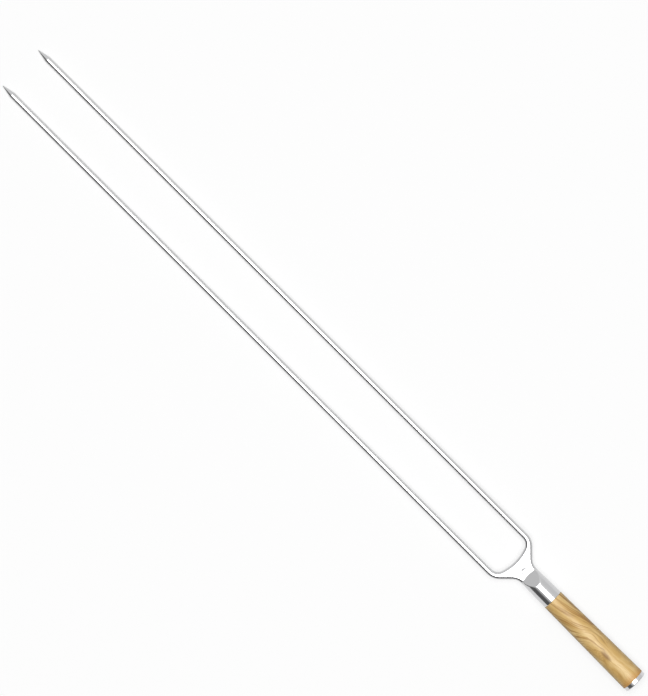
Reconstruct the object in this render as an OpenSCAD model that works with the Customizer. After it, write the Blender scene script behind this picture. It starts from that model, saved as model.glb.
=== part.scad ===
// Churrasco skewer: a two-pronged steel fork with a round bolster and an olive wood grip.
// +X runs from the grip to the points, +Y to the left prong, +Z up. The origin is under the
// middle of the skewer, level with its lowest point. Millimetres.

/* [Prongs] */
// Diameter of each prong's round bar
prong_d = 7; // [6:0.5:9]
// Distance between the two prongs, centre to centre
prong_spacing = 52; // [48:1:64]
// Length of a prong from its weld to its tip
prong_len = 703.5; // [400:0.5:900]
// Length of the ground point
point_len = 13.5; // [8:0.5:20]
// Diameter of the blunted end of the point
tip_d = 0.8; // [0.4:0.2:1.6]

/* [Fork head] */
// Straight stub in front of each bend, where the prong is welded on
stub_len = 8; // [4:0.5:20]
// Radius of the bend in each arm, on the bar's centre line
bend_r = 15.2; // [13:0.1:17]
// Angle by which each arm turns in towards the neck
arm_angle = 44.5; // [40:0.5:50]
// Radius of the hollow where an arm runs into the neck, on the outer edge
hollow_r = 14.2; // [12:0.1:18]
// How far each side of the neck is drawn in from the bolster's front edge
waist = 0.3; // [0.2:0.1:1]
// Distance from the bolster's front edge to the start of the hollows
neck_len = 12.7; // [9:0.1:18]
// Thickness of the flat web
web_t = 6.4; // [5:0.1:6.6]
// Depth of the web, from the start of the hollows to the middle of the opening's rear edge
web_depth = 20.9; // [17:0.1:26]
// Radius of the bowed rear edge of the opening
gap_base_r = 50; // [40:1:80]
// Radius of the two rear corners of the opening
gap_corner_r = 9.2; // [7:0.1:12]
// Distance from the opening's rear edge back to the middle of the dimple
dimple_back = 14.3; // [10:0.1:15]
// Width of the shallow round dimple in the web
dimple_d = 8; // [4:0.5:10]
// Depth of the dimple
dimple_depth = 0.6; // [0.2:0.1:1.2]

/* [Bolster] */
// Length of the round bolster, from the wood to the foot of the slope
bolster_len = 22; // [14:0.5:34]
// Diameter of the bolster where it meets the wood
bolster_rear_d = 23.2; // [22.8:0.1:26]
// Diameter of the bolster at its front edge
bolster_front_d = 22.6; // [22.4:0.1:26]
// Length of the slope from the bolster down to the web
ramp_len = 14.5; // [10:0.5:18]

/* [Grip] */
// Length of the wooden grip
grip_len = 117; // [95:1:150]
// Diameter of the grip at its rear end
grip_rear_d = 26.2; // [24:0.1:32]
// Thickness of the end cap
cap_t = 4.5; // [3:0.5:8]
// Radius of the rounded rim of the end cap
cap_edge_r = 1.2; // [0.5:0.1:2.4]
// Length of the spigot that locates the end cap in the wood
cap_spigot_len = 5.5; // [3:0.5:6]

/* [Tang and fastening] */
// Diameter of the tang's front spigot, fixed in the bolster
spigot_d = 8; // [6:0.5:9]
// Depth of the socket in the bolster
socket_depth = 18; // [10:0.5:20]
// Width of the flat bar inside the grip
bar_w = 10; // [8:0.5:12]
// Thickness of the flat bar
bar_t = 6; // [4:0.5:8]
// Thread diameter at the tang's rear end
thread_d = 6; // [5:1:8]
// Length of thread between the flat bar and the washer
thread_lead = 4; // [2:0.5:10]
// Length of thread that stands out behind the nut
thread_end = 2; // [1:0.5:3]
// Resin left round the corners of the flat bar
resin_gap = 0.5; // [0.2:0.1:1]
// Outer diameter of the washer
washer_d = 14; // [13:0.5:16]
// Thickness of the washer
washer_t = 1.6; // [1:0.2:2.4]
// Width of the nut across its flats
nut_af = 10; // [9:0.5:12]
// Height of the nut
nut_h = 5; // [4:0.5:6.5]
// Room between the end of the thread and the end cap's spigot
cap_room = 0.9; // [0.5:0.1:4]

/* [Fits] */
// Clearance on the radius where a piece slips into or over another
fit_gap = 0.1; // [0.05:0.05:0.3]

/* [Hidden] */
$fn = 64;

// Radii, and the distance of each prong from the skewer's axis
prong_r = prong_d / 2;
arm_y = prong_spacing / 2;
bolster_front_r = bolster_front_d / 2;
bolster_rear_r = bolster_rear_d / 2;
neck_r = bolster_front_r - waist;
// Bending draws the bar in by a hair, and each straight run laps a little way into its bends
bent_r = prong_r - 0.03;
bend_lap = 0.5;

// The opening's rear edge is a round rim, a little proud of the web. The rims in its two
// corners are a little thinner, and start and end inside the bars that they join.
rim_r = web_t / 2 + 0.1;
corner_rim_r = rim_r - 0.2;
rim_inset = 0.15;
// The web's edge is buried this far past the centre lines of the round bars that edge it
web_bite = 0.6;
corner_bite = 0.3;

// Stations along the skewer, measured forwards from the face where the wood meets the bolster
hollow_x = bolster_len + neck_len;
ramp_end_x = bolster_len + ramp_len;
// In front of the bolster a nose tapers away inside the web
nose_start_x = hollow_x - 2.7;
nose_end_x = ramp_end_x + 3.5;
nose_start_r = neck_r - 0.2;
nose_end_r = neck_r - 3;
web_back_x = bolster_len + 0.4 * (nose_start_x - bolster_len);

// An arm is an arc round the bend, a straight run and an arc round the hollow. The run is
// the common tangent of the two arcs, which its slope fixes.
hollow_axis_r = hollow_r + prong_r;
bend_y = arm_y - bend_r;
hollow_y = neck_r + hollow_r;
run_len = ((bend_r + hollow_axis_r) * cos(arm_angle) - (hollow_y - bend_y)) / sin(arm_angle);
bend_x = hollow_x + (bend_r + hollow_axis_r) * sin(arm_angle) + run_len * cos(arm_angle);
bend_c = [bend_x, bend_y];
hollow_c = [hollow_x, hollow_y];
run_front = bend_c + bend_r * [-sin(arm_angle), cos(arm_angle)];
run_back = hollow_c + hollow_axis_r * [sin(arm_angle), -cos(arm_angle)];

// The opening's rear edge is a wide arc with a tighter arc in each corner. The wide arc's
// rim runs on as far as the centre line of each arm's bend.
gap_apex_x = hollow_x + web_depth;
gap_base_x = gap_apex_x + gap_base_r;
gap_base_c = [gap_base_x, 0];
base_axis_r = gap_base_r + rim_r;
corner_y = arm_y - prong_r + rim_inset - gap_corner_r;
corner_x = gap_base_x - sqrt(pow(gap_base_r + rim_inset - gap_corner_r, 2) - pow(corner_y, 2));
corner_c = [corner_x, corner_y];
corner_a = atan2(corner_y, corner_x - gap_base_x);
bend_reach = norm(bend_c - gap_base_c);
base_end_a = atan2(bend_y, bend_x - gap_base_x)
    - acos((pow(bend_reach, 2) + pow(base_axis_r, 2) - pow(bend_r, 2)) / (2 * bend_reach * base_axis_r));

// The web's plan is drawn this far forward, inside the stubs, before the opening is cut
web_front_x = max(bend_x, corner_x) + 2;

// Prongs and dimple
weld_x = bend_x + stub_len;
shank_len = prong_len - point_len;
dimple_x = gap_apex_x - dimple_back;
dimple_sphere_r = (pow(dimple_d / 2, 2) + pow(dimple_depth, 2)) / (2 * dimple_depth);

// Inside the grip, measured backwards from the wood's front face
grip_bore_d = norm([bar_w, bar_t]) + 2 * resin_gap;
counterbore_d = max(washer_d, nut_af / cos(30)) + 2 * fit_gap;
counterbore_depth = cap_spigot_len + cap_room + thread_end + nut_h + washer_t;
washer_seat = grip_len - counterbore_depth;
bar_len = washer_seat - thread_lead;
thread_len = thread_lead + washer_t + nut_h + thread_end;

// The whole skewer's middle and the height of its axis over the surface that it lies on
front_len = weld_x + prong_len;
rear_len = grip_len + cap_t;
shoulder_x = (rear_len - front_len) / 2;
axis_z = max(grip_rear_d, bolster_rear_d, bolster_front_d, prong_d) / 2;

// Everything is drawn round the skewer's axis and then set at its height
module on_axis() {
    translate([shoulder_x, 0, axis_z]) children();
}

// A solid of revolution about the skewer's axis, from its profile of [station, radius]
module turned() {
    rotate([90, 0, 90]) rotate_extrude($fn = 96) rotate(90) mirror([0, 1]) children();
}

// A round bar along the skewer's axis direction, from one station to another
module bar_along(x0, x1, r) {
    translate([x0, 0, 0]) rotate([0, 90, 0]) cylinder(h = x1 - x0, r = r);
}

// A straight round bar between two points of the fork's plane
module bar_run(start, end, r) {
    run = end - start;
    translate([start[0], start[1], 0])
        rotate([0, 90, atan2(run[1], run[0])])
            cylinder(h = norm(run), r = r);
}

// A round bar bent round a centre, from one angle to another
module bar_bend(centre, bend, r, from, to) {
    translate([centre[0], centre[1], 0])
        rotate(from)
            rotate_extrude(angle = to - from, $fn = 96)
                translate([bend, 0]) circle(r, $fn = 48);
}

module both_sides() {
    children();
    mirror([0, 1, 0]) children();
}

module prong() {
    color("gainsboro") union() {
        bar_along(weld_x, weld_x + shank_len, prong_r);
        translate([weld_x + shank_len, 0, 0])
            rotate([0, 90, 0])
                cylinder(h = point_len, r1 = prong_r, r2 = tip_d / 2);
    }
}

// One arm of the fork: stub, bend, slanted run, hollow and the side of the neck
module arm() {
    neck_y = hollow_y - hollow_axis_r;
    lap = bend_lap * [cos(arm_angle), sin(arm_angle)];
    bar_run([weld_x, arm_y], [bend_x - bend_lap, arm_y], prong_r);
    bar_bend(bend_c, bend_r, bent_r, 90, 90 + arm_angle);
    bar_run(run_front + lap, run_back - lap, prong_r);
    bar_bend(hollow_c, hollow_axis_r, bent_r, 270, 270 + arm_angle);
    bar_run([hollow_x + bend_lap, neck_y], [web_back_x, neck_y], prong_r);
}

// The rounded rims of the opening's rear edge and of one of its corners
module gap_base_rim() {
    bar_bend(gap_base_c, base_axis_r, rim_r, base_end_a, 360 - base_end_a);
}

module gap_corner_rim() {
    buried_a = 5;
    bar_bend(corner_c, gap_corner_r + corner_rim_r, corner_rim_r, 90 - buried_a, corner_a + buried_a);
}

// Plan of the web: everything between the two arms, back into the bolster
module web_plan() {
    outer_r = bend_r + web_bite;
    inner_r = hollow_axis_r - web_bite;
    front_p = bend_c + outer_r * [-sin(arm_angle), cos(arm_angle)];
    back_p = hollow_c + inner_r * [sin(arm_angle), -cos(arm_angle)];
    half = [
        [web_front_x, 0], [web_front_x, bend_y + outer_r], [bend_x, bend_y + outer_r],
        front_p, back_p, [hollow_x, hollow_y - inner_r], [web_back_x, hollow_y - inner_r],
        [web_back_x, 0]
    ];
    difference() {
        union() {
            polygon(half);
            translate(bend_c) circle(outer_r, $fn = 96);
        }
        translate(hollow_c) circle(inner_r, $fn = 96);
        translate([web_back_x, -2 * arm_y]) square([3 * bend_r + weld_x, 2 * arm_y]);
    }
}

// Plan of the opening between the arms, less the rims that edge it
module gap_plan() {
    corner_rim = gap_corner_r + corner_rim_r - corner_bite;
    base_rim = base_axis_r - web_bite;
    meet = corner_c + corner_rim * [cos(corner_a), sin(corner_a)];
    far_x = weld_x + 3 * bend_r;
    polygon([
        [far_x, -corner_y - corner_rim], [far_x, corner_y + corner_rim],
        [corner_x, corner_y + corner_rim], meet, [meet[0], -meet[1]],
        [corner_x, -corner_y - corner_rim]
    ]);
    for (side = [-1, 1]) translate([corner_x, side * corner_y]) circle(corner_rim, $fn = 96);
    intersection() {
        translate(gap_base_c) circle(base_rim, $fn = 192);
        translate([gap_base_x - base_rim - 1, -meet[1]])
            square([meet[0] - gap_base_x + base_rim + 2, 2 * meet[1]]);
    }
}

module web() {
    translate([0, 0, -web_t / 2])
        linear_extrude(web_t)
            difference() {
                both_sides() web_plan();
                gap_plan();
            }
}

// The bolster with its neck, sloped down to the web above and below
module bolster() {
    slope = (bolster_front_r - web_t / 2) / ramp_len;
    reach = 2 * bolster_front_r;
    difference() {
        turned()
            polygon([
                [0, 0], [0, bolster_rear_r], [bolster_len, bolster_front_r],
                [nose_start_x, nose_start_r], [nose_end_x, nose_end_r], [nose_end_x, 0]
            ]);
        for (face = [-1, 1]) scale([1, 1, face])
            translate([0, reach, 0])
                rotate([90, 0, 0])
                    linear_extrude(2 * reach)
                        polygon([
                            [bolster_len - reach, bolster_front_r + slope * reach],
                            [bolster_len + 2 * reach, bolster_front_r - 2 * slope * reach],
                            [bolster_len + 2 * reach, bolster_front_r + slope * reach]
                        ]);
    }
}

module fork_head() {
    color("silver") on_axis() difference() {
        union() {
            bolster();
            web();
            both_sides() arm();
            both_sides() gap_corner_rim();
            gap_base_rim();
        }
        bar_along(-1, socket_depth, spigot_d / 2);
        translate([dimple_x, 0, web_t / 2 - dimple_depth + dimple_sphere_r])
            rotate([90, 0, 0]) sphere(dimple_sphere_r, $fn = 96);
    }
}

module prong_left() {
    on_axis() translate([0, arm_y, 0]) prong();
}

module prong_right() {
    on_axis() translate([0, -arm_y, 0]) prong();
}

module tang() {
    color("darkgray") on_axis() {
        bar_along(0, socket_depth, spigot_d / 2);
        translate([-bar_len, -bar_w / 2, -bar_t / 2]) cube([bar_len, bar_w, bar_t]);
        bar_along(-bar_len - thread_len, -bar_len, thread_d / 2);
    }
}

module handle_grip() {
    color("burlywood") on_axis() difference() {
        turned() polygon([
            [0, 0], [0, bolster_rear_r], [-grip_len, grip_rear_d / 2], [-grip_len, 0]
        ]);
        bar_along(-grip_len - 1, 1, grip_bore_d / 2);
        bar_along(-grip_len - 1, -washer_seat, counterbore_d / 2);
    }
}

module tang_adhesive() {
    color("tan") on_axis() difference() {
        bar_along(-washer_seat, 0, grip_bore_d / 2);
        translate([-bar_len, -bar_w / 2, -bar_t / 2]) cube([bar_len + 1, bar_w, bar_t]);
        bar_along(-washer_seat - 1, -bar_len + 1, thread_d / 2);
    }
}

module clamp_washer() {
    color("silver") on_axis() difference() {
        bar_along(-washer_seat - washer_t, -washer_seat, washer_d / 2);
        bar_along(-washer_seat - washer_t - 1, 1 - washer_seat, thread_d / 2 + fit_gap);
    }
}

module tang_nut() {
    nut_front = -washer_seat - washer_t;
    color("silver") on_axis() difference() {
        translate([nut_front - nut_h, 0, 0])
            rotate([0, 90, 0])
                cylinder(h = nut_h, r = nut_af / 2 / cos(30), $fn = 6);
        bar_along(nut_front - nut_h - 1, nut_front + 1, thread_d / 2);
    }
}

module end_cap() {
    color("gainsboro") on_axis() {
        bar_along(-grip_len, -grip_len + cap_spigot_len, counterbore_d / 2 - fit_gap);
        turned() {
            polygon([
                [-grip_len, 0], [-grip_len, grip_rear_d / 2],
                [-grip_len - cap_t + cap_edge_r, grip_rear_d / 2],
                [-grip_len - cap_t, grip_rear_d / 2 - cap_edge_r], [-grip_len - cap_t, 0]
            ]);
            translate([-grip_len - cap_t + cap_edge_r, grip_rear_d / 2 - cap_edge_r])
                circle(cap_edge_r, $fn = 48);
        }
    }
}

prong_left();
prong_right();
fork_head();
tang();
handle_grip();
tang_adhesive();
clamp_washer();
tang_nut();
end_cap();
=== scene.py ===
"""Churrasco skewer: two ground steel prongs, a forged fork head, an olive wood grip and a steel end cap."""

import math

import bmesh
import bpy
import numpy as np
from bpy.props import FloatProperty, FloatVectorProperty, PointerProperty
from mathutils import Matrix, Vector


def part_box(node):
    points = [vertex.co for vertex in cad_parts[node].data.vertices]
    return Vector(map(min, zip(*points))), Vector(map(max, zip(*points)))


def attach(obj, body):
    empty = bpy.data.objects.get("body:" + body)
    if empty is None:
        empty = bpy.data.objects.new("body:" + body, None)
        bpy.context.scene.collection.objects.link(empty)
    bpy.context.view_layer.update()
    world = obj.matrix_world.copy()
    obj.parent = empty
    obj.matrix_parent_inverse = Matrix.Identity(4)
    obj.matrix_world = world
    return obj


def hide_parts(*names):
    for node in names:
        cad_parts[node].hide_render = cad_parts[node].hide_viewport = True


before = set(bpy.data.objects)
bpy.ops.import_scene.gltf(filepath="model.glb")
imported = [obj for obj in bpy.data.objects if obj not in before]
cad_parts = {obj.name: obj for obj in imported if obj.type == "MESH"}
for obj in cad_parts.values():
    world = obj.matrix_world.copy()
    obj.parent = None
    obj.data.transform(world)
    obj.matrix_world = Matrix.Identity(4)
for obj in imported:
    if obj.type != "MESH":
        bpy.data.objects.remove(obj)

bl_info = {
    "name": "Churrasco skewer",
    "version": (1, 0, 0),
    "blender": (4, 5, 0),
    "location": "3D View > Sidebar > Skewer",
    "description": "Builds a two-pronged skewer, piece by piece, over its construction model",
    "category": "Add Mesh",
}

MM = 0.001

# The skewer's axis runs along X at this height. The wood meets the steel at the shoulder.
HEAD_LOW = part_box("fork_head")[0]
GRIP_LOW, GRIP_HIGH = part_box("handle_grip")
PRONG_LOW, PRONG_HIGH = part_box("prong_left")
CAP_LOW, CAP_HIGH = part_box("end_cap")
AXIS_Z = (GRIP_LOW[2] + GRIP_HIGH[2]) / 2
SHOULDER_X = HEAD_LOW[0]
WELD_X = PRONG_LOW[0]
PRONG_Y = (PRONG_LOW[1] + PRONG_HIGH[1]) / 2
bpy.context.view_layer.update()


def linear(colour):
    """A colour written as sRGB hex, as the linear RGBA that the nodes take."""
    parts = [int(colour[i : i + 2], 16) / 255 for i in (1, 3, 5)]
    return tuple(c / 12.92 if c <= 0.04045 else ((c + 0.055) / 1.055) ** 2.4 for c in parts) + (1.0,)


def size(name, description, default):
    """A size that a user may change, in metres."""
    return FloatProperty(
        name=name, description=description, default=default, min=0.0, unit="LENGTH", precision=5
    )


def paint(name, description, default):
    """A colour that a user may change, from its sRGB hex value."""
    return FloatVectorProperty(
        name=name, description=description, default=linear(default), size=4, min=0.0, max=1.0, subtype="COLOR"
    )


class ProngSizes(bpy.types.PropertyGroup):
    bar_d: size("Bar", "Diameter of each prong's bar", PRONG_HIGH[2] - PRONG_LOW[2])
    point_len: size("Point", "Length of the ground point", 13.5 * MM)
    tip_d: size("Tip", "Diameter of the blunted end of the point", 0.8 * MM)
    shoulder_r: size("Shoulder", "Radius that eases the bar into its point", 14 * MM)
    steel: paint("Bar steel", "Colour of the ground and polished bar", "#D1D1D2")


class HeadSizes(bpy.types.PropertyGroup):
    bend_r: size("Bend", "Radius of the bend in each arm, on the bar's centre line", 15.2 * MM)
    arm_angle: FloatProperty(
        name="Arm angle", description="Angle by which each arm turns in", default=math.radians(44.5), subtype="ANGLE"
    )
    hollow_r: size("Hollow", "Radius where an arm runs into the neck", 14.2 * MM)
    hollow_at: size("Hollow's place", "From the shoulder to the start of the hollows", 34.7 * MM)
    neck_w: size("Neck", "Width of the neck", 22.0 * MM)
    web_t: size("Web", "Thickness of the flat web", 6.4 * MM)
    web_depth: size("Web's depth", "From the hollows to the opening's rear edge", 20.9 * MM)
    gap_base_r: size("Rear edge", "Radius of the opening's bowed rear edge", 50 * MM)
    gap_corner_r: size("Corners", "Radius of the opening's rear corners", 9.05 * MM)
    bolster_len: size("Bolster", "Length of the round bolster", 22 * MM)
    bolster_rear_d: size("Bolster's rear", "Diameter of the bolster at the wood", 23.2 * MM)
    bolster_front_d: size("Bolster's front", "Diameter of the bolster at the slope", 22.6 * MM)
    ramp_len: size("Slope", "Length of the slope down to the web", 14.5 * MM)
    dimple_back: size("Dimple's place", "From the opening's rear edge to the dimple", 14.3 * MM)
    dimple_d: size("Dimple", "Width of the shallow dimple", 8 * MM)
    dimple_deep: size("Dimple's depth", "Depth of the shallow dimple", 0.6 * MM)
    socket_d: size("Socket", "Diameter of the socket that holds the tang", 8 * MM)
    socket_deep: size("Socket's depth", "Depth of that socket", 18 * MM)
    skin_step: size("Mesh step", "Size of a face of the forging's skin", 0.45 * MM)
    steel: paint("Forged steel", "Colour of the forging", "#D1D1D2")


class GripSizes(bpy.types.PropertyGroup):
    front_d: size("Front", "Diameter of the wood at the bolster", 23.2 * MM)
    rear_d: size("Rear", "Diameter of the wood at the cap", 26.2 * MM)
    edge_r: size("Edges", "Radius to which the wood's ends are eased", 0.4 * MM)
    bore_d: size("Bore", "Diameter of the bore for the tang", 12.66 * MM)
    counterbore_d: size("Counterbore", "Diameter of the room for the washer and nut", 14.2 * MM)
    counterbore_deep: size("Counterbore's depth", "Depth of that room", 15.0 * MM)
    pale: paint("Pale wood", "Wood between the growth lines", "#F3D597")
    warm: paint("Warm wood", "The wood's middle tone", "#DCB772")
    line: paint("Growth line", "Fine darker growth lines", "#A5763A")
    heart: paint("Heartwood", "Dark streaks and the swirl's eye", "#7E5219")


class CapSizes(bpy.types.PropertyGroup):
    rim_r: size("Rim", "Radius of the rounded rim", 1.2 * MM)
    spigot_d: size("Spigot", "Diameter of the spigot inside the wood", 14.0 * MM)
    steel: paint("Cap steel", "Colour of the mirror-polished cap", "#D3D3D4")


class StudioSizes(bpy.types.PropertyGroup):
    lens: FloatProperty(name="Lens", description="Focal length in millimetres", default=200.0)
    pixel: size("Pixel", "What one pixel of the picture covers", 1.035 * MM)
    paper: paint("Paper", "White paper under the skewer", "#FDFDFD")
    softbox: FloatProperty(name="Softbox", description="Radiance of the softbox overhead", default=6.4)


def add_node(tree, kind, inputs=None, **settings):
    """Adds a node with its settings, and its inputs by name or number, each a value or a socket to link."""
    node = tree.nodes.new(kind)
    for name, value in settings.items():
        setattr(node, name, value)
    for key, value in (inputs or {}).items():
        if isinstance(value, bpy.types.NodeSocket):
            tree.links.new(value, node.inputs[key])
        else:
            node.inputs[key].default_value = value
    return node


def new_material(name):
    """An empty material: (material, tree, output)."""
    material = bpy.data.materials.new(name)
    material.use_nodes = True
    tree = material.node_tree
    tree.nodes.clear()
    return material, tree, add_node(tree, "ShaderNodeOutputMaterial")


def place_in_mm(tree):
    """Each point's place in millimetres: back from the shoulder, to the right and up from the axis."""
    place = add_node(tree, "ShaderNodeTexCoord").outputs["Object"]
    start = (SHOULDER_X, 0.0, AXIS_Z)
    shifted = add_node(tree, "ShaderNodeVectorMath", {0: place, 1: start}, operation="SUBTRACT")
    flip = (-1000, -1000, 1000)
    return add_node(tree, "ShaderNodeVectorMath", {0: shifted.outputs[0], 1: flip}, operation="MULTIPLY").outputs[0]


def stretched(tree, place, x, y, z):
    """The place scaled so that one unit of pattern is x, y and z millimetres long."""
    scale = (1 / x, 1 / y, 1 / z)
    return add_node(tree, "ShaderNodeVectorMath", {0: place, 1: scale}, operation="MULTIPLY").outputs[0]


def new_piece(name, mesh, material, slot, *nodes):
    """Puts a finished mesh in the scene as a piece that stands for these nodes of the model."""
    mesh.materials.clear()
    mesh.materials.append(material)
    piece = bpy.data.objects.new(name, mesh)
    bpy.context.scene.collection.objects.link(piece)
    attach(piece, "root")
    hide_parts(*nodes)
    return piece


def eased(corners, radii, steps=6):
    """A profile with each corner rounded to its radius. Corners are (x, r)."""
    profile = []
    for i, (corner, radius) in enumerate(zip(corners, radii)):
        if radius == 0:
            profile.append(corner)
            continue
        here = Vector(corner)
        back = (Vector(corners[i - 1]) - here).normalized()
        ahead = (Vector(corners[(i + 1) % len(corners)]) - here).normalized()
        half = math.acos(max(-1.0, min(1.0, back.dot(ahead)))) / 2
        centre = here + (back + ahead).normalized() * radius / math.sin(half)
        first = here + back * radius / math.tan(half) - centre
        last = here + ahead * radius / math.tan(half) - centre
        turn = math.atan2(first.x * last.y - first.y * last.x, first.dot(last))
        for k in range(steps + 1):
            c, s = math.cos(turn * k / steps), math.sin(turn * k / steps)
            profile.append((centre.x + first.x * c - first.y * s, centre.y + first.x * s + first.y * c))
    return profile


def divided(profile, longest):
    """The profile with its long runs divided, so that none is over the longest along X."""
    points = [profile[0]]
    for (x0, r0), (x1, r1) in zip(profile, profile[1:]):
        count = max(1, math.ceil(abs(x1 - x0) / longest))
        points += [(x0 + (x1 - x0) * k / count, r0 + (r1 - r0) * k / count) for k in range(1, count + 1)]
    return points


def turned_mesh(name, profile, y, segments, closed=False):
    """A mesh turned about the line along X at that y. A closed profile makes a ring."""
    bm = bmesh.new()
    turns = [2 * math.pi * k / segments for k in range(segments)]
    rings = []
    for x, r in profile:
        spots = turns if r > 1e-7 else turns[:1]
        rings.append([bm.verts.new((x, y + r * math.sin(a), AXIS_Z + r * math.cos(a))) for a in spots])
    for a, b in zip(rings, rings[1:] + rings[:1] if closed else rings[1:]):
        for k in range(segments):
            n = (k + 1) % segments
            corners = [a[k % len(a)], a[n % len(a)], b[n % len(b)], b[k % len(b)]]
            bm.faces.new(list(dict.fromkeys(corners)))
    bmesh.ops.recalc_face_normals(bm, faces=bm.faces)
    mesh = bpy.data.meshes.new(name)
    bm.to_mesh(mesh)
    bm.free()
    mesh.shade_smooth()
    mesh.set_sharp_from_angle(angle=math.radians(32))
    return mesh


def ground_bar_steel(colour):
    """Stainless bar, centreless ground and polished. It mirrors the room, softened a little along the bar."""
    material, tree, output = new_material("ground stainless bar")
    # Grinding marks 30 mm long and 0.6 mm wide, drawn wider than real so that they show
    marks = add_node(
        tree,
        "ShaderNodeTexNoise",
        {"Vector": stretched(tree, place_in_mm(tree), 30, 0.6, 0.6), "Scale": 1.0, "Detail": 2.0},
    ).outputs["Fac"]
    rough = add_node(
        tree, "ShaderNodeMapRange", {"Value": marks, "From Min": 0.3, "From Max": 0.7, "To Min": 0.1, "To Max": 0.18}
    )
    dull = [c * 0.93 for c in colour[:3]] + [1.0]
    tint = add_node(tree, "ShaderNodeMix", {0: marks, 6: dull, 7: colour}, data_type="RGBA")
    bump = add_node(tree, "ShaderNodeBump", {"Strength": 0.05, "Distance": 0.0001, "Height": marks})
    shader = add_node(
        tree,
        "ShaderNodeBsdfPrincipled",
        {"Base Color": tint.outputs[2], "Metallic": 1.0, "Roughness": rough.outputs[0], "Normal": bump.outputs[0]},
    )
    tree.links.new(shader.outputs[0], output.inputs["Surface"])
    return material


def forged_steel(colour, head):
    """Stainless forging. The bolster is polished like a mirror, and the slope and web are finely satined."""
    material, tree, output = new_material("forged and polished stainless")
    place = place_in_mm(tree)
    # Satin grit of 0.5 mm along the fork, drawn coarser than real so that it shows
    grit = add_node(
        tree, "ShaderNodeTexNoise", {"Vector": stretched(tree, place, 6, 0.5, 0.5), "Scale": 1.0, "Detail": 3.0}
    ).outputs["Fac"]
    back = add_node(tree, "ShaderNodeSeparateXYZ", {0: place}).outputs[0]
    slope_at = -head.bolster_len / MM
    satin = add_node(
        tree,
        "ShaderNodeMapRange",
        {"Value": back, "From Min": slope_at + 0.4, "From Max": slope_at - 1.2},
        interpolation_type="SMOOTHSTEP",
    ).outputs[0]
    even = add_node(tree, "ShaderNodeMapRange", {"Value": satin, "To Min": 0.08, "To Max": 0.13}).outputs[0]
    rough = add_node(tree, "ShaderNodeMath", {0: grit, 1: 0.05, 2: even}, operation="MULTIPLY_ADD").outputs[0]
    dull = [c * 0.93 for c in colour[:3]] + [1.0]
    tint = add_node(tree, "ShaderNodeMix", {0: grit, 6: dull, 7: colour}, data_type="RGBA")
    deep = add_node(tree, "ShaderNodeMath", {0: satin, 1: 0.05}, operation="MULTIPLY").outputs[0]
    bump = add_node(tree, "ShaderNodeBump", {"Strength": deep, "Distance": 0.0001, "Height": grit})
    shader = add_node(
        tree,
        "ShaderNodeBsdfPrincipled",
        {"Base Color": tint.outputs[2], "Metallic": 1.0, "Roughness": rough, "Normal": bump.outputs[0]},
    )
    tree.links.new(shader.outputs[0], output.inputs["Surface"])
    return material


def mirror_steel(colour):
    """Stainless disc, turned and buffed. It mirrors the room with hardly a mark."""
    material, tree, output = new_material("buffed stainless")
    # Buffing swirls about 3 mm across
    swirls = add_node(
        tree, "ShaderNodeTexNoise", {"Vector": stretched(tree, place_in_mm(tree), 3, 3, 3), "Scale": 1.0}
    ).outputs["Fac"]
    rough = add_node(tree, "ShaderNodeMapRange", {"Value": swirls, "To Min": 0.13, "To Max": 0.2})
    shader = add_node(
        tree,
        "ShaderNodeBsdfPrincipled",
        {"Base Color": colour, "Metallic": 1.0, "Roughness": rough.outputs[0]},
    )
    tree.links.new(shader.outputs[0], output.inputs["Surface"])
    return material


def turned_steel():
    """Plain steel as it leaves the lathe: grey, with fine rings."""
    material, tree, output = new_material("turned steel")
    rings = add_node(
        tree,
        "ShaderNodeTexWave",
        {"Vector": stretched(tree, place_in_mm(tree), 1, 1, 1), "Scale": 0.8, "Distortion": 1.0},
        bands_direction="X",
    ).outputs["Fac"]
    rough = add_node(tree, "ShaderNodeMapRange", {"Value": rings, "To Min": 0.28, "To Max": 0.42})
    shader = add_node(
        tree,
        "ShaderNodeBsdfPrincipled",
        {"Base Color": linear("#B4B4B6"), "Metallic": 1.0, "Roughness": rough.outputs[0]},
    )
    tree.links.new(shader.outputs[0], output.inputs["Surface"])
    return material


def cured_resin():
    """Epoxy poured round the tang: amber and a little cloudy."""
    material, tree, output = new_material("cured epoxy")
    # Clouds about 6 mm across
    clouds = add_node(
        tree, "ShaderNodeTexNoise", {"Vector": stretched(tree, place_in_mm(tree), 6, 6, 6), "Scale": 1.0}
    ).outputs["Fac"]
    tint = add_node(
        tree, "ShaderNodeMix", {0: clouds, 6: linear("#CDB37C"), 7: linear("#E2CFA2")}, data_type="RGBA"
    )
    shader = add_node(
        tree, "ShaderNodeBsdfPrincipled", {"Base Color": tint.outputs[2], "Roughness": 0.45, "IOR": 1.55}
    )
    tree.links.new(shader.outputs[0], output.inputs["Surface"])
    return material


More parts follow.
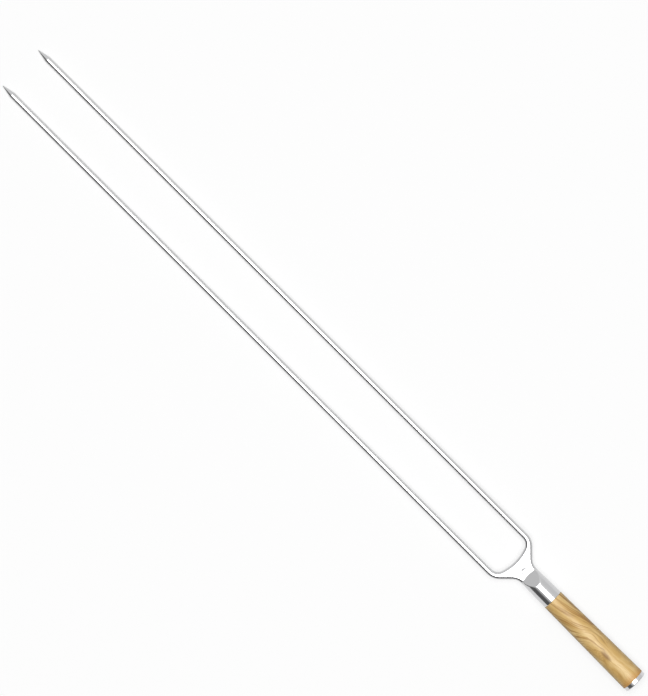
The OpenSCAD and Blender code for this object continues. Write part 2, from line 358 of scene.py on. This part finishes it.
def oiled_olive(grip):
    """Olive wood, turned, sanded and oiled.

    Straight fine growth lines at the bolster draw together and turn into a swirl round a dark eye near the cap.
    """
    material, tree, output = new_material("oiled olive wood")
    place = place_in_mm(tree)

    def ramp(value, low, high, start=0.0, end=1.0):
        inputs = {"Value": value, "From Min": low, "From Max": high, "To Min": start, "To Max": end}
        return add_node(tree, "ShaderNodeMapRange", inputs, interpolation_type="SMOOTHSTEP").outputs[0]

    def sums(operation, *values):
        return add_node(tree, "ShaderNodeMath", dict(enumerate(values)), operation=operation).outputs[0]

    def noise(x, y, z, detail=2.0, where=None):
        inputs = {"Vector": stretched(tree, where or place, x, y, z), "Scale": 1.0, "Detail": detail}
        return add_node(tree, "ShaderNodeTexNoise", inputs).outputs

    def blended(share, a, b):
        return add_node(tree, "ShaderNodeMix", {0: share, 6: a, 7: b}, data_type="RGBA").outputs[2]

    split = add_node(tree, "ShaderNodeSeparateXYZ", {0: place})
    back, side, up = split.outputs

    # The swirl's eye, 20 mm long and 6 mm wide, 79 mm behind the shoulder
    from_eye = add_node(tree, "ShaderNodeVectorMath", {0: place, 1: (79, -2.5, 12)}, operation="SUBTRACT")
    eye_at = stretched(tree, from_eye.outputs[0], 13, 4, 9)
    eye_off = add_node(tree, "ShaderNodeVectorMath", {0: eye_at}, operation="LENGTH").outputs["Value"]
    eye = ramp(eye_off, 1.6, 0.0)

    # The grain wanders sideways, more and more towards the cap
    wander = noise(38, 13, 13)["Fac"]
    sway = sums("MULTIPLY", sums("SUBTRACT", wander, 0.5), ramp(back, 10, 95, 3, 20))
    lift = sums("MULTIPLY", eye, ramp(side, -6, 1, -3.5, 3.5))
    # its lines run slightly across the grip
    aslant = ramp(back, -20, 75, 0, 12)
    across = sums("SUBTRACT", sums("ADD", sums("ADD", side, sway), lift), aslant)
    # and its lines draw together, from the whole width at the bolster to half of it
    drawn = sums("DIVIDE", sums("SUBTRACT", across, 5.0), ramp(back, -10, 85, 1.25, 0.6))
    depth = sums("MULTIPLY", up, 0.35)
    grain_at = add_node(tree, "ShaderNodeCombineXYZ", {0: back, 1: drawn, 2: depth}).outputs[0]

    # Growth lines 1.7 mm apart that fade in and out over 60 mm
    lines = ramp(noise(60, 1.4, 3.0, 1.0, grain_at)["Fac"], 0.52, 0.66)
    fine = noise(26, 0.55, 1.2, 1.0, grain_at)["Fac"]
    broad = ramp(noise(30, 6.5, 8, 2.0, grain_at)["Fac"], 0.34, 0.68)
    streak = ramp(noise(34, 2.6, 5, 1.5, grain_at)["Fac"], 0.6, 0.74)

    colour = blended(broad, tuple(grip.pale), tuple(grip.warm))
    colour = blended(sums("MULTIPLY", fine, 0.3), colour, tuple(grip.line))
    colour = blended(sums("MULTIPLY", lines, ramp(back, 35, 90, 0.8, 0.25)), colour, tuple(grip.line))
    colour = blended(sums("MULTIPLY", streak, 0.38), colour, tuple(grip.heart))
    colour = blended(sums("MULTIPLY", ramp(eye, 0.55, 1.0), 0.75), colour, tuple(grip.heart))
    # The last 10 mm before the cap have turned orange with the heat of buffing
    colour = blended(ramp(back, 107, 117, 0.0, 0.6), colour, linear("#C0802F"))

    # Pores 4 mm long and 0.4 mm wide
    pores = noise(4, 0.4, 0.4, 1.0)["Fac"]
    colour = blended(sums("MULTIPLY", ramp(pores, 0.6, 0.75), 0.18), colour, tuple(grip.heart))
    rough = ramp(pores, 0.4, 0.75, 0.42, 0.55)
    bump = add_node(tree, "ShaderNodeBump", {"Strength": 0.12, "Distance": 0.0002, "Height": pores}, invert=True)
    shader = add_node(
        tree,
        "ShaderNodeBsdfPrincipled",
        {"Base Color": colour, "Roughness": rough, "IOR": 1.5, "Normal": bump.outputs[0]},
    )
    tree.links.new(shader.outputs[0], output.inputs["Surface"])
    return material


def soft_union(a, b, blend):
    """The lower of two fields, with the crease between them filled over that width."""
    share = np.clip(0.5 + 0.5 * (b - a) / blend, 0, 1)
    return b + (a - b) * share - blend * share * (1 - share)


def soft_common(a, b, blend):
    """The higher of two fields, with the edge between them rounded over that width."""
    return -soft_union(-a, -b, blend)


def smooth_ramp(values, low, high):
    """0 below low, 1 above high, and an even curve between."""
    t = np.clip((values - low) / (high - low), 0, 1)
    return t * t * (3 - 2 * t)


def fork_field(sizes, bar_r):
    """Returns a function that gives about how far points are outside the forging's surface, in metres.

    Places are measured forwards from the shoulder and from the axis.
    """
    s, c = math.sin(sizes.arm_angle), math.cos(sizes.arm_angle)
    neck_y = sizes.neck_w / 2 - bar_r
    hollow_axis_r = sizes.hollow_r + bar_r
    bend_y = PRONG_Y - sizes.bend_r
    hollow_x, hollow_y = sizes.hollow_at, neck_y + hollow_axis_r
    run = ((sizes.bend_r + hollow_axis_r) * c - (hollow_y - bend_y)) / s
    bend_x = hollow_x + (sizes.bend_r + hollow_axis_r) * s + run * c
    run_x, run_y = bend_x - sizes.bend_r * s, bend_y + sizes.bend_r * c

    base_x = hollow_x + sizes.web_depth + sizes.gap_base_r
    inner_r = sizes.gap_base_r - sizes.gap_corner_r
    corner_y = PRONG_Y - bar_r - sizes.gap_corner_r
    corner_x = base_x - math.sqrt(inner_r**2 - corner_y**2)
    corner_fan = math.atan2(corner_y, base_x - corner_x)

    web_half = sizes.web_t / 2
    front_r, rear_r = sizes.bolster_front_d / 2, sizes.bolster_rear_d / 2
    slope = math.atan2(front_r - web_half, sizes.ramp_len)
    dimple_x = hollow_x + sizes.web_depth - sizes.dimple_back
    dimple_r = ((sizes.dimple_d / 2) ** 2 + sizes.dimple_deep**2) / (2 * sizes.dimple_deep)
    dimple_z = web_half - sizes.dimple_deep + dimple_r

    def arm_line(x, y):
        """Distance out from the line down the middle of an arm."""
        past_bend = -(x - bend_x) * c - (y - bend_y) * s
        past_run = -(x - hollow_x) * c - (y - hollow_y) * s
        return np.select(
            [x >= bend_x, past_bend <= 0, past_run <= 0, x >= hollow_x],
            [
                y - PRONG_Y,
                np.hypot(x - bend_x, y - bend_y) - sizes.bend_r,
                -(x - run_x) * s + (y - run_y) * c,
                hollow_axis_r - np.hypot(x - hollow_x, y - hollow_y),
            ],
            y - neck_y,
        )

    def opening(x, y):
        """Distance out from the edge of the opening between the arms."""
        fan = np.arctan2(y, base_x - x)
        return (
            np.select(
                [x >= corner_x, fan <= corner_fan],
                [y - corner_y, np.hypot(x - base_x, y) - inner_r],
                np.hypot(x - corner_x, y - corner_y),
            )
            - sizes.gap_corner_r
        )

    def field(p):
        x, z = p[:, 0] - SHOULDER_X, p[:, 2] - AXIS_Z
        y = np.abs(p[:, 1])
        # The fork is a plate with fully rounded edges, dished a little inside them
        edge = np.maximum(arm_line(x, y) - bar_r, -opening(x, y))
        half = bar_r - (bar_r - web_half) * smooth_ramp(-edge, 3.2 * MM, 9 * MM)
        fork = np.hypot(np.maximum(edge + bar_r, 0), z * bar_r / half) - bar_r
        fork = np.maximum(fork, sizes.bolster_len + 2 * MM - x)
        # The bolster is round, and the slope is planed off it above and below
        along = [0, sizes.bolster_len, sizes.bolster_len + 10 * MM, sizes.bolster_len + 18 * MM]
        radius = np.interp(x, along, [rear_r, front_r, front_r - 0.5 * MM, front_r - 3.3 * MM])
        off_axis = np.hypot(y, z)
        planed = (np.abs(z) - front_r) * math.cos(slope) + (x - sizes.bolster_len) * math.sin(slope)
        bolster = soft_common(off_axis - radius, planed, 0.5 * MM)
        bolster = soft_common(bolster, x - sizes.bolster_len - 18 * MM, 0.3 * MM)
        # The foot of the slope is filled in, but not its sides, where the two surfaces run together
        blend = 0.3 * MM + 0.5 * MM * smooth_ramp(-y, -10.5 * MM, -7.5 * MM)
        head = soft_union(fork, bolster, blend)
        head = soft_common(head, -x, 0.4 * MM)
        dimple = dimple_r - np.sqrt((x - dimple_x) ** 2 + y**2 + (z - dimple_z) ** 2)
        head = soft_common(head, dimple, 0.15 * MM)
        socket = np.maximum(off_axis - sizes.socket_d / 2, x - sizes.socket_deep)
        return np.maximum(head, -socket)

    return field


def slopes(field, points):
    """The field at each point, and its slope along X, Y and Z."""
    step = 0.01 * MM
    here = field(points)
    slope = np.empty_like(points)
    for axis in range(3):
        moved = points.copy()
        moved[:, axis] += step
        slope[:, axis] = (field(moved) - here) / step
    return here, slope


def settled(field, points, rounds=8):
    """The points moved to where the field is zero."""
    for _ in range(rounds):
        here, slope = slopes(field, points)
        reach = here / np.maximum((slope**2).sum(axis=1), 0.2)
        points = points - np.clip(reach, -0.4 * MM, 0.4 * MM)[:, None] * slope
    return points


class SKEWER_OT_prongs(bpy.types.Operator):
    """Two ground and polished bars with eased points"""

    bl_idname = "skewer.prongs"
    bl_label = "Prongs"

    def execute(self, context):
        sizes = context.scene.skewer_prongs
        material = ground_bar_steel(tuple(sizes.steel))
        r, tip_x = sizes.bar_d / 2, PRONG_HIGH[0]
        corners = [(WELD_X, 0), (WELD_X, r), (tip_x - sizes.point_len, r), (tip_x, sizes.tip_d / 2), (tip_x, 0)]
        profile = divided(eased(corners, [0, 0, sizes.shoulder_r, sizes.tip_d * 0.3, 0]), 14 * MM)
        for side, y in (("left", PRONG_Y), ("right", -PRONG_Y)):
            name = f"{side}_prong_bar"
            new_piece(name, turned_mesh(name, profile, y, 64), material, "prong_steel", f"prong_{side}")
        return {"FINISHED"}


class SKEWER_OT_fork_head(bpy.types.Operator):
    """The forging, from its arms to its bolster, skinned over its smooth shape"""

    bl_idname = "skewer.fork_head"
    bl_label = "Fork head"

    def execute(self, context):
        sizes = context.scene.skewer_head
        bar_r = context.scene.skewer_prongs.bar_d / 2
        spare = 3 * MM
        bm = bmesh.new()
        bm.from_mesh(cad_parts["fork_head"].data)
        bmesh.ops.remove_doubles(bm, verts=bm.verts, dist=0.001 * MM)
        for y in (PRONG_Y, -PRONG_Y):
            back, front = WELD_X - spare, WELD_X + spare
            stub = turned_mesh("stub", [(back, 0), (back, bar_r), (front, bar_r), (front, 0)], y, 48)
            bm.from_mesh(stub)
            bpy.data.meshes.remove(stub)
        rough = bpy.data.meshes.new("fork_rough")
        bm.to_mesh(rough)
        bm.free()
        blank = bpy.data.objects.new("fork_blank", rough)
        context.scene.collection.objects.link(blank)
        skin = blank.modifiers.new("Skin", "REMESH")
        skin.mode = "VOXEL"
        skin.voxel_size = sizes.skin_step
        context.view_layer.update()
        mesh = bpy.data.meshes.new_from_object(blank.evaluated_get(context.evaluated_depsgraph_get()))
        bpy.data.objects.remove(blank)
        bpy.data.meshes.remove(rough)
        mesh.name = "forged_fork_head"

        field = fork_field(sizes, bar_r)
        points = np.empty(len(mesh.vertices) * 3)
        mesh.vertices.foreach_get("co", points)
        mesh.vertices.foreach_set("co", settled(field, points.reshape(-1, 3)).ravel())

        # The stubs are sawn off square at the welds
        bm = bmesh.new()
        bm.from_mesh(mesh)
        everything = bm.verts[:] + bm.edges[:] + bm.faces[:]
        cut = bmesh.ops.bisect_plane(
            bm, geom=everything, plane_co=(WELD_X, 0, 0), plane_no=(1, 0, 0), clear_outer=True
        )
        rim = [e for e in cut["geom_cut"] if isinstance(e, bmesh.types.BMEdge)]
        for v in {v for e in rim for v in e.verts}:
            out = Vector((0, v.co.y - math.copysign(PRONG_Y, v.co.y), v.co.z - AXIS_Z)).normalized() * bar_r
            v.co = Vector((WELD_X, math.copysign(PRONG_Y, v.co.y) + out.y, AXIS_Z + out.z))
        bmesh.ops.edgeloop_fill(bm, edges=rim)
        bmesh.ops.recalc_face_normals(bm, faces=bm.faces)
        bm.to_mesh(mesh)
        bm.free()
        mesh.shade_smooth()
        points = np.empty(len(mesh.vertices) * 3)
        mesh.vertices.foreach_get("co", points)
        slope = slopes(field, points.reshape(-1, 3))[1]
        slope /= np.maximum(np.linalg.norm(slope, axis=1), 1e-9)[:, None]
        mesh.normals_split_custom_set_from_vertices(slope)
        material = forged_steel(tuple(sizes.steel), sizes)
        new_piece("forged_fork_head", mesh, material, "head_steel", "fork_head")
        return {"FINISHED"}


class SKEWER_OT_grip(bpy.types.Operator):
    """The turned olive wood grip, bored for the tang"""

    bl_idname = "skewer.grip"
    bl_label = "Grip"

    def execute(self, context):
        sizes = context.scene.skewer_grip
        front, rear = GRIP_HIGH[0], GRIP_LOW[0]
        bore, room = sizes.bore_d / 2, sizes.counterbore_d / 2
        seat = rear + sizes.counterbore_deep
        corners = [
            (front, bore),
            (front, sizes.front_d / 2),
            (rear, sizes.rear_d / 2),
            (rear, room),
            (seat, room),
            (seat, bore),
        ]
        outside = eased(corners[:4], [0, sizes.edge_r, sizes.edge_r, 0])
        profile = divided(outside, 3 * MM) + corners[4:]
        mesh = turned_mesh("turned_grip", profile, 0.0, 96, closed=True)
        new_piece("turned_grip", mesh, oiled_olive(sizes), "olive_wood", "handle_grip")
        return {"FINISHED"}


class SKEWER_OT_end_cap(bpy.types.Operator):
    """The polished cap with its rounded rim and its spigot"""

    bl_idname = "skewer.end_cap"
    bl_label = "End cap"

    def execute(self, context):
        sizes = context.scene.skewer_cap
        r = (CAP_HIGH[2] - CAP_LOW[2]) / 2
        spigot_r = sizes.spigot_d / 2
        back, wood, inside = CAP_LOW[0], GRIP_LOW[0], CAP_HIGH[0]
        corners = [(back, 0), (back, r), (wood, r), (wood, spigot_r), (inside, spigot_r), (inside, 0)]
        profile = eased(corners, [0, sizes.rim_r, 0.15 * MM, 0, 0.3 * MM, 0], 10)
        mesh = turned_mesh("polished_end_cap", profile, 0.0, 96)
        new_piece("polished_end_cap", mesh, mirror_steel(tuple(sizes.steel)), "cap_steel", "end_cap")
        return {"FINISHED"}


class SKEWER_OT_fastening(bpy.types.Operator):
    """The tang, its resin bed, the washer and the nut, which stay as they were built"""

    bl_idname = "skewer.fastening"
    bl_label = "Tang and fastening"

    def execute(self, context):
        steel, resin = turned_steel(), cured_resin()
        pieces = {"tang": steel, "clamp_washer": steel, "tang_nut": steel, "tang_adhesive": resin}
        for name, material in pieces.items():
            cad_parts[name].material_slots[0].material = material
        return {"FINISHED"}


def paper_white(colour):
    """Matt white paper. The camera and the steel see it evenly lit, with a soft shadow under the skewer."""
    material, tree, output = new_material("white paper")
    seen = add_node(tree, "ShaderNodeLightPath").outputs
    watched = add_node(
        tree, "ShaderNodeMath", {0: seen["Is Camera Ray"], 1: seen["Is Glossy Ray"]}, operation="MAXIMUM"
    ).outputs[0]
    watched = add_node(
        tree, "ShaderNodeMath", {0: watched, 1: seen["Is Transmission Ray"]}, operation="MAXIMUM"
    ).outputs[0]
    matt = add_node(tree, "ShaderNodeBsdfDiffuse", {"Color": colour})
    bounce = add_node(tree, "ShaderNodeBsdfDiffuse", {"Color": linear("#484848")})
    glow = add_node(tree, "ShaderNodeEmission", {"Color": colour, "Strength": 1.0})
    even = add_node(tree, "ShaderNodeMixShader", {0: 0.7, 1: matt.outputs[0], 2: glow.outputs[0]})
    mixed = add_node(tree, "ShaderNodeMixShader", {0: watched, 1: bounce.outputs[0], 2: even.outputs[0]})
    tree.links.new(mixed.outputs[0], output.inputs["Surface"])
    return material


def tent_cloth():
    """The cloth of a light tent round the table: dark to the left, grey to the right and lighter to the front."""
    material, tree, output = new_material("light tent")

    def ramp(value, low, high, start, end):
        inputs = {"Value": value, "From Min": low, "From Max": high, "To Min": start, "To Max": end}
        return add_node(tree, "ShaderNodeMapRange", inputs, interpolation_type="SMOOTHSTEP").outputs[0]

    place = add_node(tree, "ShaderNodeTexCoord").outputs["Object"]
    level = add_node(tree, "ShaderNodeVectorMath", {0: place, 1: (1, 1, 0)}, operation="MULTIPLY").outputs[0]
    level = add_node(tree, "ShaderNodeVectorMath", {0: level}, operation="NORMALIZE").outputs[0]
    left = add_node(tree, "ShaderNodeVectorMath", {0: level, 1: (-0.15, 0.99, 0)}, operation="DOT_PRODUCT")
    right = add_node(tree, "ShaderNodeVectorMath", {0: level, 1: (0.6, -0.8, 0)}, operation="DOT_PRODUCT")
    dark = ramp(left.outputs["Value"], 0.05, 0.75, 1.0, 0.22)
    light = ramp(right.outputs["Value"], 0.0, 1.0, 0.55, 0.9)
    strength = add_node(tree, "ShaderNodeMath", {0: dark, 1: light}, operation="MULTIPLY").outputs[0]
    # The cloth lightens towards the softbox at the top
    height = add_node(tree, "ShaderNodeVectorMath", {0: place}, operation="NORMALIZE").outputs[0]
    height = add_node(tree, "ShaderNodeSeparateXYZ", {0: height}).outputs[2]
    high = ramp(height, 0.6, 1.0, 0.0, 1.0)
    strength = add_node(tree, "ShaderNodeMix", {0: high, 2: strength, 3: 1.0}).outputs[0]
    # and gives matt surfaces only a quarter of its light, so that their sides fall into shade
    matt = add_node(tree, "ShaderNodeLightPath").outputs["Is Diffuse Ray"]
    share = add_node(tree, "ShaderNodeMath", {0: matt, 1: -0.75, 2: 1.0}, operation="MULTIPLY_ADD").outputs[0]
    strength = add_node(tree, "ShaderNodeMath", {0: strength, 1: share}, operation="MULTIPLY").outputs[0]
    glow = add_node(tree, "ShaderNodeEmission", {"Color": linear("#FFFFFF"), "Strength": strength})
    tree.links.new(glow.outputs[0], output.inputs["Surface"])
    material.cycles.emission_sampling = "NONE"
    return material


class SKEWER_OT_studio(bpy.types.Operator):
    """The white paper that the skewer lies on, the light tent, the softbox and the camera"""

    bl_idname = "skewer.studio"
    bl_label = "Studio"

    def execute(self, context):
        sizes = context.scene.skewer_studio
        scene = context.scene
        scene.view_settings.view_transform = "Standard"

        # The paper slopes just enough for the rear of the grip and both points to lie on it
        touch_x = PRONG_HIGH[0] - context.scene.skewer_prongs.point_len
        rise = PRONG_LOW[2] / (touch_x - GRIP_LOW[0])
        # It is 80 m across, and level beyond 0.6 m from the middle
        far, near = 40.0, 0.6
        bm = bmesh.new()
        rows = []
        for x in (-far, -near, near, far):
            z = rise * (max(-near, min(near, x)) - GRIP_LOW[0]) - 0.02 * MM
            rows.append([bm.verts.new((x, y, z)) for y in (-far, far)])
        for a, b in zip(rows, rows[1:]):
            bm.faces.new([a[0], b[0], b[1], a[1]])
        mesh = bpy.data.meshes.new("paper")
        bm.to_mesh(mesh)
        bm.free()
        mesh.materials.append(paper_white(tuple(sizes.paper)))
        paper = bpy.data.objects.new("paper", mesh)
        scene.collection.objects.link(paper)

        # A tent of 20 m radius, which the camera looks through
        bm = bmesh.new()
        bmesh.ops.create_uvsphere(bm, u_segments=64, v_segments=32, radius=20.0)
        mesh = bpy.data.meshes.new("light_tent")
        bm.to_mesh(mesh)
        bm.free()
        mesh.materials.append(tent_cloth())
        tent = bpy.data.objects.new("light_tent", mesh)
        tent.visible_camera = False
        scene.collection.objects.link(tent)

        # The softbox hangs 5 m up and reaches 19 degrees to each side
        lamp_up, lamp_reach = 5.0, math.radians(19)
        lamp = bpy.data.lights.new("softbox", "AREA")
        lamp.shape = "SQUARE"
        lamp.size = 2 * lamp_up * math.tan(lamp_reach)
        lamp.energy = sizes.softbox * math.pi * lamp.size**2
        box = bpy.data.objects.new("softbox", lamp)
        box.location = (0, 0, lamp_up)
        box.visible_camera = False
        scene.collection.objects.link(box)

        world = bpy.data.worlds.new("white room")
        world.use_nodes = True
        world.node_tree.nodes.clear()
        sky = add_node(world.node_tree, "ShaderNodeBackground", {"Color": linear("#FDFDFD"), "Strength": 1.0})
        out = add_node(world.node_tree, "ShaderNodeOutputWorld")
        world.node_tree.links.new(sky.outputs[0], out.inputs["Surface"])
        scene.world = world

        # The camera looks straight down at the middle of the picture, which is 696 pixels high
        picture_high, middle_x, middle_y = 696, 0.0231, -0.0169
        heading = math.radians(-135.034)
        camera = bpy.data.cameras.new("camera")
        camera.lens = sizes.lens
        camera.sensor_width = 36.0
        distance = sizes.pixel * picture_high * camera.lens / camera.sensor_width
        view = bpy.data.objects.new("camera", camera)
        view.location = (middle_x, middle_y, AXIS_Z + distance)
        view.rotation_euler = (0, 0, heading)
        camera.clip_end = 100.0
        scene.collection.objects.link(view)
        scene.camera = view
        return {"FINISHED"}


OPERATORS = (
    SKEWER_OT_studio,
    SKEWER_OT_prongs,
    SKEWER_OT_fork_head,
    SKEWER_OT_grip,
    SKEWER_OT_end_cap,
    SKEWER_OT_fastening,
)


class VIEW3D_PT_skewer(bpy.types.Panel):
    """Sizes, colours and steps of the skewer"""

    bl_label = "Churrasco skewer"
    bl_space_type = "VIEW_3D"
    bl_region_type = "UI"
    bl_category = "Skewer"

    def draw(self, context):
        for name in GROUPS:
            group = getattr(context.scene, name)
            box = self.layout.box()
            for key in group.__annotations__:
                box.prop(group, key)
        for operator in OPERATORS:
            self.layout.operator(operator.bl_idname)


GROUPS = {
    "skewer_prongs": ProngSizes,
    "skewer_head": HeadSizes,
    "skewer_grip": GripSizes,
    "skewer_cap": CapSizes,
    "skewer_studio": StudioSizes,
}


def register():
    for item in (*GROUPS.values(), *OPERATORS, VIEW3D_PT_skewer):
        bpy.utils.register_class(item)
    for name, group in GROUPS.items():
        setattr(bpy.types.Scene, name, PointerProperty(type=group))


def unregister():
    for name in GROUPS:
        delattr(bpy.types.Scene, name)
    for item in (VIEW3D_PT_skewer, *reversed(OPERATORS), *reversed(GROUPS.values())):
        bpy.utils.unregister_class(item)


def main():
    register()
    for step in (
        bpy.ops.skewer.studio,
        bpy.ops.skewer.prongs,
        bpy.ops.skewer.fork_head,
        bpy.ops.skewer.grip,
        bpy.ops.skewer.end_cap,
        bpy.ops.skewer.fastening,
    ):
        step()


if __name__ == "__main__":
    main()
